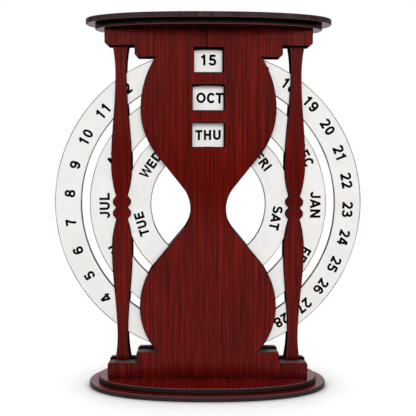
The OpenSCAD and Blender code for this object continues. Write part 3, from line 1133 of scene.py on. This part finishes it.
@dataclass(frozen=True)
class Alphabet:
    """A plain upright sans-serif face for the digits and capitals on the dials."""

    weight: float = 0.2
    digit_advance: float = 0.775
    sharpest: float = 0.2
    closed_gap: float = 1e-6

    @property
    def half(self) -> float:
        """Half of a stroke's weight."""
        return self.weight / 2

    @property
    def cap(self) -> float:
        """Height of the middle line of a stroke at the top."""
        return 1 - self.half

    def digit(self, width: float, *strokes: list[Point], shift: float = 0.5) -> Glyph:
        """Make a digit in the common advance, shifted by its share of the spare room."""
        spare = self.digit_advance - width
        return Glyph(width, strokes, spare * shift, spare * (1 - shift))

    def digits(self) -> dict[str, Glyph]:
        """Draw the ten digits.

        Returns:
            The glyphs by character.
        """
        h, cap = self.half, self.cap
        middle_tall = 0.5 - h
        return {
            "0": self.digit(0.66, bow(0.33, 0.5, 0.33 - h, middle_tall, 0, 360)),
            "1": self.digit(
                0.39, [(0.39 - h, 0), (0.39 - h, 1)],
                [(0.0, 0.735), (0.13, 0.775), (0.235, 0.85), (0.3, 1.0)], shift=0.34,
            ),
            "2": self.digit(
                0.66, bow(0.32, 0.695, 0.235, 0.22, 172, -38) + [(0.11, 0.04)], [(0.02, h), (0.64, h)]
            ),
            "3": self.digit(
                0.66, bow(0.315, 0.715, 0.215, 0.2, 165, -92), bow(0.315, 0.3, 0.25, 0.213, 92, -168),
                [(0.21, 0.517), (0.34, 0.517)],
            ),
            "4": self.digit(
                0.68, [(0.44, 1.05), (0.045, 0.24)], [(0.02, 0.29), (0.68, 0.29)], [(0.475, 0), (0.475, 1)]
            ),
            "5": self.digit(
                0.66, [(0.61, cap), (0.185, cap), (0.125, 0.47)], bow(0.32, 0.325, 0.255, 0.24, 143, -166)
            ),
            "6": self.digit(
                0.66, bow(0.34, 0.315, 0.24, 0.23, 0, 360), bow(0.345, 0.5, 0.255, middle_tall, 195, 35)
            ),
            "7": self.digit(
                0.64, [(0.02, cap), (0.6, cap)], [(0.585, 0.93), (0.42, 0.66), (0.31, 0.36), (0.26, -0.05)]
            ),
            "8": self.digit(0.66, bow(0.33, 0.72, 0.21, 0.193, 0, 360), bow(0.33, 0.3, 0.245, 0.213, 0, 360)),
            "9": self.digit(
                0.66, bow(0.32, 0.685, 0.24, 0.23, 0, 360), bow(0.315, 0.5, 0.255, middle_tall, 15, -145)
            ),
        }

    def letters(self) -> dict[str, Glyph]:
        """Draw the capitals that the months and weekdays need.

        Returns:
            The glyphs by character.
        """
        h, cap = self.half, self.cap
        stem = [(h, 0), (h, 1)]
        tall = 0.5 - h
        upper_bowl = [(h, cap)] + bow(0.37, 0.725, 0.205, cap - 0.725, 90, -90) + [(h, 1.45 - cap)]
        lower_bowl = [(h, 0.52)] + bow(0.385, 0.3035, 0.235, 0.2165, 90, -90) + [(h, h)]
        long_bowl = [(h, cap)] + bow(0.37, 0.685, 0.22, cap - 0.685, 90, -90) + [(h, 1.37 - cap)]
        curl = bow(0.38, 0.705, 0.255, 0.208, 22, 250) + bow(0.39, 0.293, 0.275, 0.206, 70, -158)
        return {
            "A": Glyph(
                0.86, ([(0.05, -0.1), (0.43, 0.965), (0.81, -0.1)], [(0.2, 0.3), (0.66, 0.3)]), 0.02, 0.02
            ),
            "B": Glyph(0.71, (stem, upper_bowl, lower_bowl), 0.1, 0.05),
            "C": Glyph(0.79, (bow(0.42, 0.5, 0.42 - h, tall, 38, 322),), 0.05, 0.03),
            "D": Glyph(0.77, (stem, [(h, cap)] + bow(0.36, 0.5, 0.325, tall, 90, -90) + [(h, h)]), 0.1, 0.05),
            "E": Glyph(
                0.68, (stem, [(h, cap), (0.65, cap)], [(h, 0.515), (0.61, 0.515)], [(h, h), (0.67, h)]),
                0.1, 0.05,
            ),
            "F": Glyph(0.63, (stem, [(h, cap), (0.62, cap)], [(h, 0.49), (0.55, 0.49)]), 0.1, 0.03),
            "G": Glyph(
                0.87, (bow(0.45, 0.5, 0.365, tall, 40, 325), [(0.46, 0.43), (0.785, 0.43), (0.785, 0.13)]),
                0.05, 0.06,
            ),
            "H": Glyph(0.74, (stem, [(0.74 - h, 0), (0.74 - h, 1)], [(h, 0.52), (0.74 - h, 0.52)])),
            "I": Glyph(2 * h, (stem,)),
            "J": Glyph(0.64, ([(0.64 - h, 1)] + bow(0.32, 0.32, 0.32 - h, 0.32 - h, 0, -172),), 0.04, 0.09),
            "L": Glyph(0.68, (stem, [(h, h), (0.68, h)]), 0.1, 0.03),
            "M": Glyph(
                0.88, (stem, [(0.88 - h, 0), (0.88 - h, 1)], [(0.115, 1.1), (0.44, 0.06), (0.765, 1.1)])
            ),
            "N": Glyph(0.8, (stem, [(0.8 - h, 0), (0.8 - h, 1)], [(0.06, 1.06), (0.74, -0.06)])),
            "O": Glyph(0.9, (bow(0.45, 0.5, 0.45 - h, tall, 0, 360),), 0.05, 0.04),
            "P": Glyph(0.68, (stem, long_bowl), 0.1, 0.03),
            "R": Glyph(0.75, (stem, upper_bowl, [(0.36, 0.52), (0.5, 0.33), (0.7, -0.06)]), 0.1, 0.02),
            "S": Glyph(0.76, (curl,), 0.04, 0.05),
            "T": Glyph(0.73, ([(0, cap), (0.73, cap)], [(0.365, 0), (0.365, cap)]), 0.02, 0.02),
            "U": Glyph(
                0.76, ([(h, 1)] + bow(0.38, 0.38, 0.38 - h, 0.38 - h, 180, 360) + [(0.76 - h, 1)],),
                0.09, 0.09,
            ),
            "V": Glyph(0.8, ([(0.04, 1.1), (0.4, 0.04), (0.76, 1.1)],), 0.01, 0.01),
            "W": Glyph(1.1, ([(0.04, 1.1), (0.3, 0.06), (0.55, 1.0), (0.8, 0.06), (1.06, 1.1)],), 0.01, 0.01),
            "Y": Glyph(
                0.78, ([(0.02, 1.08), (0.39, 0.43), (0.76, 1.08)], [(0.39, 0), (0.39, 0.46)]), 0.01, 0.01
            ),
        }

    def stroke_faces(self, stroke: list[Point]) -> list[list[Point]]:
        """Widen a stroke into one four-sided face for each of its stretches, cut off at heights 0 and 1.

        Args:
            stroke: The points of the middle line.

        Returns:
            The outline of each face, counter-clockwise.
        """
        closed = (Vector(stroke[0]) - Vector(stroke[-1])).length < self.closed_gap
        points = [Vector(point) for point in (stroke[:-1] if closed else stroke)]
        count = len(points)
        sides = []
        for index, here in enumerate(points):
            before = points[index - 1] if closed or index else None
            after = points[(index + 1) % count] if closed or index < count - 1 else None
            one = (here - before).normalized() if before is not None else None
            two = (after - here).normalized() if after is not None else one
            one = two if one is None else one
            left_one, left_two = Vector((-one.y, one.x)), Vector((-two.y, two.x))
            reach = (left_one + left_two) * self.half / max(self.sharpest, 1 + left_one.dot(left_two))
            sides.append((here + reach, here - reach))
        pairs = list(zip(sides, sides[1:] + sides[:1])) if closed else list(zip(sides, sides[1:]))
        faces = [[start[1], end[1], end[0], start[0]] for start, end in pairs]
        return [cut for face in faces if len(cut := self.cut_off([tuple(p) for p in face])) > 2]

    @staticmethod
    def cut_off(face: list[Point]) -> list[Point]:
        """Cut a face off below height 0 and above height 1.

        Args:
            face: Its outline.

        Returns:
            The outline of what is left, which may be empty.
        """
        for limit, keep in ((0.0, 1), (1.0, -1)):
            kept = []
            for a, b in zip(face, face[1:] + face[:1]):
                inside_a, inside_b = keep * (a[1] - limit) >= 0, keep * (b[1] - limit) >= 0
                if inside_a:
                    kept.append(a)
                if inside_a != inside_b:
                    share = (limit - a[1]) / (b[1] - a[1])
                    kept.append((a[0] + (b[0] - a[0]) * share, limit))
            face = kept
        return face


@dataclass
class Lettering:
    """Cuts words in the dials' face as thin raised print."""

    ink: Material
    alphabet: Alphabet = field(default_factory=Alphabet)
    raised: float = 0.05 * MM
    sunk: float = 0.03 * MM
    weld: float = 1e-5
    with_inner_triangles: int = 1

    def __post_init__(self) -> None:
        """Draw the glyphs."""
        self.glyphs = self.alphabet.digits() | self.alphabet.letters()

    def faces_of(self, word: str) -> list[list[Point]]:
        """Set a word of height 1, centred at the origin.

        Args:
            word: The characters.

        Returns:
            The faces of its strokes, which may overlap.
        """
        faces, at, ink_start, ink_end = [], 0.0, None, 0.0
        for character in word:
            glyph = self.glyphs[character]
            at += glyph.left
            ink_start = at if ink_start is None else ink_start
            for stroke in glyph.strokes:
                faces += [[(x + at, z) for x, z in face] for face in self.alphabet.stroke_faces(stroke)]
            at += glyph.width
            ink_end = at
            at += glyph.right
        middle = (ink_start + ink_end) / 2
        return [[(x - middle, z - 0.5) for x, z in face] for face in faces]

    def build(self, name: str, word: str, height: float) -> Object:
        """Build a word as closed raised print around the origin, facing -Y.

        Args:
            name: The object's name.
            word: The characters.
            height: The height of its capitals, in metres.

        Returns:
            The object, linked to no collection.
        """
        faces = self.faces_of(word)
        points = [Vector(point) for face in faces for point in face]
        starts = [sum(len(face) for face in faces[:index]) for index in range(len(faces))]
        indices = [list(range(start, start + len(face))) for start, face in zip(starts, faces)]
        cover = delaunay_2d_cdt(points, [], indices, self.with_inner_triangles, self.weld)
        flat, _, triangles, _, _, covered_by = cover
        shape = bmesh.new()
        front = [shape.verts.new((p.x * height, -self.raised, p.y * height)) for p in flat]
        for triangle, covering in zip(triangles, covered_by):
            if covering:
                shape.faces.new([front[i] for i in triangle])
        loose = [vert for vert in shape.verts if not vert.link_faces]
        bmesh.ops.delete(shape, geom=loose, context="VERTS")
        raised = bmesh.ops.extrude_face_region(shape, geom=list(shape.faces))
        moved = [part for part in raised["geom"] if isinstance(part, bmesh.types.BMVert)]
        bmesh.ops.translate(shape, verts=moved, vec=(0, self.raised + self.sunk, 0))
        bmesh.ops.recalc_face_normals(shape, faces=shape.faces)
        return bpy.data.objects.new(name, mesh_of(name, shape, (self.ink,)))


# ---- Dials ----

# Names of the attributes that a word's point carries: its angle behind and its way nearer the centre
BEHIND = "behind"
INWARDS = "inwards"


def converted(piece: Object, tree: NodeTree, values: dict[str, Any]) -> None:
    """Run a geometry tree once on a piece and keep its result as the piece's plain mesh.

    Args:
        piece: The piece, with the mesh that the tree is given.
        tree: The geometry tree.
        values: Its other inputs by name.
    """
    modifier = piece.modifiers.new("maker", "NODES")
    modifier.node_group = tree
    for item in tree.interface.items_tree:
        if item.item_type == "SOCKET" and item.in_out == "INPUT" and item.name in values:
            modifier[item.identifier] = values[item.name]
    piece.update_tag()
    bpy.context.view_layer.update()
    evaluated = piece.evaluated_get(bpy.context.evaluated_depsgraph_get())
    mesh = bpy.data.meshes.new_from_object(evaluated)
    piece.modifiers.clear()
    piece.data = mesh
    mesh.name = piece.name


def flat_ring() -> NodeTree:
    """Build the tree of a flat ring, a rectangle with eased corners swept round the axis.

    Returns:
        The tree.
    """
    sizes = {"Rim Radius": 90 * MM, "Hole Radius": 75 * MM, "Ease": 0.1 * MM, "Thickness": 3 * MM}
    looks = {"Segments": 192, "Face Material": MATERIAL, "Edge Material": MATERIAL}
    inputs = {"Centre": VECTOR} | sizes | looks
    graph = Group("flat_ring", "GeometryNodeTree", inputs, {"Geometry": GEOMETRY})
    given = graph.given
    centre = given["Centre"]
    rim, hole, ease, thickness = (given[label] for label in sizes)
    section = {0: graph.minus(rim, hole), 1: thickness}
    eased = {"Curve": graph.out("GeometryNodeCurvePrimitiveQuadrilateral", section), "Radius": ease}
    round_axis = {"Resolution": given["Segments"], "Radius": graph.times(graph.plus(rim, hole), 0.5)}
    sweep = {
        "Curve": graph.out("GeometryNodeCurvePrimitiveCircle", round_axis),
        "Profile Curve": graph.out("GeometryNodeFilletCurve", eased),
    }
    swept = graph.out("GeometryNodeCurveToMesh", sweep)
    stood = {"Geometry": swept, "Rotation": (math.radians(90), 0, 0), "Translation": centre}
    placed = graph.out("GeometryNodeTransform", stood)
    radius = graph.axis_distance(graph.out("GeometryNodeInputPosition"), centre)
    at_rim = graph.math("GREATER_THAN", radius, graph.minus(rim, ease))
    at_hole = graph.math("LESS_THAN", radius, graph.plus(hole, ease))
    smooth = graph.out("GeometryNodeSetShadeSmooth", {"Geometry": placed, "Shade Smooth": True})
    real = graph.out("GeometryNodeRealizeInstances", {0: smooth})
    faced = {"Geometry": real, "Material": given["Face Material"]}
    edged = {
        "Geometry": graph.out("GeometryNodeSetMaterial", faced),
        "Selection": graph.math("MAXIMUM", at_rim, at_hole),
        "Material": given["Edge Material"],
    }
    return graph.give(graph.out("GeometryNodeSetMaterial", edged))


def words_round_dial() -> NodeTree:
    """Build the tree that sets one word after another clockwise round an axis, with their tops outwards.

    Returns:
        The tree.
    """
    parts = {"Points": GEOMETRY, "Words": COLLECTION, "Count": 12}
    inputs = parts | {"Centre": VECTOR, "Radius": 60 * MM, "Material": MATERIAL}
    graph = Group("words_round_dial", "GeometryNodeTree", inputs, {"Geometry": GEOMETRY})
    given = graph.given
    index = graph.out("GeometryNodeInputIndex")
    behind, inwards = (
        graph.out("GeometryNodeInputNamedAttribute", {"Name": label}, data_type="FLOAT")
        for label in (BEHIND, INWARDS)
    )
    pitch = graph.math("DIVIDE", math.tau, given["Count"])
    angle = graph.minus(graph.times(index, pitch), behind)
    radius = graph.minus(given["Radius"], inwards)
    right = graph.times(radius, graph.math("SINE", angle))
    up = graph.times(radius, graph.math("COSINE", angle))
    offset = graph.out("ShaderNodeCombineXYZ", {0: right, 2: up})
    spot = {"Geometry": given["Points"], "Position": graph.vector_math("ADD", given["Centre"], offset)}
    setting = {
        "Points": graph.out("GeometryNodeSetPosition", spot),
        "Instance": graph.out("GeometryNodeCollectionInfo", {0: given["Words"], 1: True, 2: True}),
        "Pick Instance": True,
        "Instance Index": index,
        "Rotation": graph.out("ShaderNodeCombineXYZ", {1: angle}),
    }
    placed = graph.out("GeometryNodeInstanceOnPoints", setting)
    real = graph.out("GeometryNodeRealizeInstances", {0: placed})
    inked = {"Geometry": real, "Material": given["Material"]}
    return graph.give(graph.out("GeometryNodeSetMaterial", inked))


@dataclass(frozen=True)
class DialTrees:
    """The two geometry trees that every dial is made with."""

    ring: NodeTree = field(default_factory=flat_ring)
    words: NodeTree = field(default_factory=words_round_dial)


@dataclass(frozen=True)
class Slip:
    """How far one word of a print lies off its even place: the angle behind and the way nearer the centre."""

    index: int
    behind: float
    inwards: float


def slips(*rows: tuple[int, float, float]) -> tuple[Slip, ...]:
    """Make slips of rows of a word's index, its degrees behind and its millimetres nearer the centre."""
    return tuple(Slip(index, behind, inwards * MM) for index, behind, inwards in rows)


@dataclass
class Dial:
    """One turning ring with its words, whose print lies a little uneven."""

    finishes: FinishSet
    trees: DialTrees
    kind: str
    words: Sequence[str]
    letter_height: float
    text_radius: float
    slips: tuple[Slip, ...]
    stroke: float = 1.42 * MM
    ease: float = 0.1 * MM
    smooth_angle: float = math.radians(30)

    @property
    def name(self) -> str:
        """The dial's name, which is also its body's."""
        return f"{self.kind}_dial"

    @property
    def node(self) -> str:
        """The node of the dial's ring."""
        return f"{self.kind}_ring"

    def build(self) -> None:
        """Build the ring and its print."""
        self.build_ring(*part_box(self.node))
        self.build_print(*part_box(self.node))

    def build_ring(self, low: Vector, high: Vector) -> None:
        """Build the ring.

        Args:
            low: The low corner of the node's box.
            high: The high corner of the node's box.
        """
        centre, rim = (low + high) / 2, (high.x - low.x) / 2
        hole = self.hole_radius(centre)
        place = {"axis": centre, "rim_radius": rim, "hole_radius": hole}
        face = DialFaceFinish(f"{self.name}_face", self.finishes.effects, **place).material()
        sizes = {"Rim Radius": rim, "Hole Radius": hole, "Thickness": high.y - low.y, "Ease": self.ease}
        looks = {"Face Material": face, "Edge Material": self.finishes.dial_cut}
        name = f"{self.name}_board"
        ring = linked(name, bpy.data.meshes.new(name))
        converted(ring, self.trees.ring, {"Centre": centre} | sizes | looks)
        ring.data.set_sharp_from_angle(angle=self.smooth_angle)
        stand_in(ring, self.node, self.name)

    def build_print(self, low: Vector, high: Vector) -> None:
        """Build the words on the ring's face.

        Args:
            low: The low corner of the node's box.
            high: The high corner of the node's box.
        """
        ink = self.finishes.ink
        middle = (low + high) / 2
        lettering = Lettering(ink, Alphabet(weight=self.stroke / self.letter_height))
        store = bpy.data.collections.new(f"{self.name}_words")
        for index, word in enumerate(self.words):
            store.objects.link(lettering.build(f"{self.name}_word_{index:02d}", word, self.letter_height))
        around = {"Words": store, "Count": len(self.words), "Radius": self.text_radius}
        printed = linked(f"{self.name}_print", self.word_points())
        at = {"Centre": Vector((middle.x, low.y, middle.z)), "Material": ink}
        converted(printed, self.trees.words, around | at)
        for source in list(store.objects):
            bpy.data.objects.remove(source)
        bpy.data.collections.remove(store)
        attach(printed, self.name)
        LOG.info("%s: %d words, %d faces", printed.name, len(self.words), len(printed.data.polygons))

    def word_points(self) -> Mesh:
        """Make a point for each word, which knows how far the word lies off its even place.

        Returns:
            The points.
        """
        mesh = bpy.data.meshes.new(f"{self.name}_points")
        mesh.vertices.add(len(self.words))
        slips = [self.slip_of(index) for index in range(len(self.words))]
        for label, values in ((BEHIND, [s.behind for s in slips]), (INWARDS, [s.inwards for s in slips])):
            mesh.attributes.new(label, "FLOAT", "POINT").data.foreach_set("value", values)
        return mesh

    def slip_of(self, index: int) -> Slip:
        """Find the slip of a word between the slips that are given.

        Args:
            index: The word's place in the print.

        Returns:
            The slip, in radians and metres.
        """
        after = next(slip for slip in self.slips if slip.index >= index)
        before = [slip for slip in self.slips if slip.index <= index][-1]
        share = (index - before.index) / max(1, after.index - before.index)
        behind = before.behind + (after.behind - before.behind) * share
        inwards = before.inwards + (after.inwards - before.inwards) * share
        return Slip(index, math.radians(behind), inwards)

    def hole_radius(self, centre: Vector) -> float:
        """Return the radius of the hole in the ring's node."""
        verts = frame["nodes"][self.node].data.vertices
        return min(math.hypot(vert.co.x - centre.x, vert.co.z - centre.z) for vert in verts)


@dataclass
class DialSet:
    """The date, month and weekday dials, with what their windows show at rest as the first word of each."""

    finishes: FinishSet
    dates: int = 31
    first_date: int = 15
    months: str = "OCT NOV DEC JAN FEB MAR APR MAY JUN JUL AUG SEP"
    weekdays: str = "THU FRI SAT SUN MON TUE WED"
    date_slips: tuple[Slip, ...] = slips(
        (0, 0.0, -0.8), (1, 0.0, -0.8), (2, 2.2, -0.8), (3, 0.7, -0.8), (4, 1.0, -0.7), (6, 1.6, 0.3),
        (8, 1.0, 0.8), (10, 0.9, 0.0), (12, 2.9, -0.4), (13, 3.5, 0.7), (18, 4.6, 0.5), (19, 3.4, 0.5),
        (20, 5.0, 0.5), (22, 5.2, 1.4), (25, 3.8, 2.0), (27, 2.1, 1.3), (28, 1.6, 0.8), (29, -2.0, 0.4),
        (30, 0.0, -0.8), (31, 0.0, -0.8),
    )
    month_slips: tuple[Slip, ...] = slips(
        (0, -0.7, -0.1), (1, 1.2, 0.6), (2, -2.2, -1.6), (3, 0.1, -1.2), (4, 0.0, -2.0), (5, 0.0, 0.0),
        (6, 0.0, 0.0), (7, 3.6, 0.8), (8, 0.6, 1.0), (9, 0.8, 1.3), (12, -0.7, -0.1),
    )
    weekday_slips: tuple[Slip, ...] = slips(
        (0, 0.3, 0.1), (1, 0.0, 0.0), (2, 1.7, 0.0), (5, 3.8, 0.0), (6, 3.9, 0.0), (7, 0.3, 0.1)
    )

    def build(self) -> None:
        """Build the three dials, each with its first word on top."""
        trees = DialTrees()
        dates = [str((self.first_date - 1 + i) % self.dates + 1) for i in range(self.dates)]
        prints = {
            "date": (dates, 6.5 * MM, 85.8 * MM, self.date_slips),
            "month": (self.months.split(), 6.35 * MM, 64.1 * MM, self.month_slips),
            "weekday": (self.weekdays.split(), 6.05 * MM, 42.2 * MM, self.weekday_slips),
        }
        for kind, values in prints.items():
            Dial(self.finishes, trees, kind, *values).build()


# ---- Studio ----


@dataclass(frozen=True)
class SoftLight:
    """One large soft lamp, which no gloss mirrors."""

    name: str
    azimuth: float
    elevation: float
    distance: float
    size: float
    power: float
    height: float | None = None
    aim: Vector = field(default_factory=lambda: Vector((0, 0, 0.11)))

    def build(self) -> None:
        """Make the lamp and turn it to its aim."""
        data = bpy.data.lights.new(self.name, "AREA")
        data.shape = "ELLIPSE"
        data.size = self.size
        data.size_y = self.height or self.size
        data.energy = self.power
        lamp = linked(self.name, data)
        around, above = math.radians(self.azimuth), math.radians(self.elevation)
        level = math.cos(above)
        away = Vector((math.sin(around) * level, -math.cos(around) * level, math.sin(above)))
        lamp.location = self.aim + away * self.distance
        lamp.rotation_euler = away.to_track_quat("Z", "Y").to_euler()
        lamp.visible_glossy = False


@dataclass
class Studio:
    """The camera, the floor, the surroundings and the lamps."""

    image_width: float = 416
    focal_pixels: float = 747.31
    sensor_width: float = 36.0
    camera_place: Vector = field(default_factory=lambda: Vector((-4.637, -451.14, 152.993)) * MM)
    pitch: float = math.radians(5.566)
    yaw: float = math.radians(-0.581)
    roll: float = math.radians(0.203)
    floor_radius: float = 0.9
    lamps: tuple[SoftLight, ...] = (
        SoftLight("front_lamp", azimuth=1, elevation=10.5, distance=1.6, size=0.65, power=16.2),
        SoftLight("broad_lamp", azimuth=0, elevation=11, distance=1.2, size=1.5, power=4.9, height=0.5),
        SoftLight("back_lamp", azimuth=180, elevation=20, distance=1.6, size=0.8, power=9.0),
        SoftLight("top_lamp", azimuth=0, elevation=88, distance=1.5, size=1.4, power=9.0),
    )
    seen_room: float = 1.0
    diffuse_room: float = 0.03
    mirrored_side: float = 3.0
    mirrored_back: float = 0.82
    mirrored_low: Colour = (1.0, 0.78, 0.88, 1.0)
    mirrored_high: Colour = (1.0, 0.95, 1.01, 1.0)
    mirrored_middle: float = 0.01
    side_starts: Range = (0.08, 0.2)
    side_ends: Range = (0.22, 0.36)
    side_rises: Range = (0.0, 0.16)
    side_foot: float = 0.2
    front_to_back: Range = (-0.3, 0.3)
    low_to_high: Range = (-0.05, 0.05)

    def build(self) -> None:
        """Build the whole studio."""
        self.build_camera()
        self.build_floor()
        self.build_room()
        for lamp in self.lamps:
            lamp.build()
        scene = bpy.context.scene
        scene.view_settings.view_transform = "Standard"
        scene.view_settings.look = "None"

    def build_camera(self) -> None:
        """Set the camera at its place, turned by its yaw, pitch and roll."""
        data = bpy.data.cameras.new("camera")
        data.sensor_width = self.sensor_width
        data.lens = self.focal_pixels * self.sensor_width / self.image_width
        data.clip_start = 0.01
        data.clip_end = 50
        camera = linked("camera", data)
        cos_p, sin_p = math.cos(self.pitch), math.sin(self.pitch)
        cos_w, sin_w = math.cos(self.yaw), math.sin(self.yaw)
        right = Vector((cos_w, sin_w, 0))
        forward = Vector((-sin_w * cos_p, cos_w * cos_p, -sin_p))
        up = right.cross(forward)
        cos_r, sin_r = math.cos(self.roll), math.sin(self.roll)
        across, above = right * cos_r + up * sin_r, up * cos_r - right * sin_r
        turn = Matrix((across, above, -forward)).transposed().to_4x4()
        camera.matrix_world = Matrix.Translation(self.camera_place) @ turn
        bpy.context.scene.camera = camera

    def build_floor(self) -> None:
        """Lay the pale floor under the calendar."""
        shape = bmesh.new()
        bmesh.ops.create_circle(shape, cap_ends=True, segments=96, radius=self.floor_radius)
        floor = linked("floor", mesh_of("floor", shape, (FloorFinish("white_floor").material(),)))

    def build_room(self) -> None:
        """Light the scene from all around, with a white backdrop for the camera."""
        world = bpy.data.worlds.new("room")
        world.use_nodes = True
        world.node_tree.nodes.clear()
        graph = Graph(world.node_tree)
        path = graph.node("ShaderNodeLightPath").outputs
        way = graph.node("ShaderNodeTexCoord").outputs["Generated"]
        sideways, backwards, upwards = graph.node("ShaderNodeSeparateXYZ", {0: way}).outputs
        off_middle = graph.math("ABSOLUTE", graph.minus(sideways, self.mirrored_middle))
        beside = graph.remap(off_middle, *self.side_starts, 0.0, self.mirrored_side)
        beside = graph.times(beside, graph.remap(off_middle, *self.side_ends, 1.0, 0.0))
        beside = graph.times(beside, graph.remap(upwards, *self.side_rises, self.side_foot, 1.0))
        mirrored = graph.remap(backwards, *self.front_to_back, beside, self.mirrored_back)
        unseen = graph.choose(path["Is Glossy Ray"], self.diffuse_room, mirrored)
        strength = graph.choose(path["Is Camera Ray"], unseen, self.seen_room)
        height = graph.remap(upwards, *self.low_to_high)
        mirrored_tint = graph.mix(height, self.mirrored_low, self.mirrored_high)
        tint = graph.mix(path["Is Glossy Ray"], WHITE, mirrored_tint)
        room = graph.out("ShaderNodeBackground", {"Color": tint, "Strength": strength})
        graph.node("ShaderNodeOutputWorld", {"Surface": room})
        bpy.context.scene.world = world


def main() -> None:
    """Build the studio and the calendar, and report each piece."""
    logging.basicConfig(level=logging.INFO, format="%(name)s: %(message)s")
    Studio().build()
    finishes = FinishSet.build()
    for part in (OvalPlates, HourglassPanels, BalusterColumns, RingGuides, DialSet):
        LOG.info("building %s", part.__name__)
        part(finishes).build()


if __name__ == "__main__":
    main()
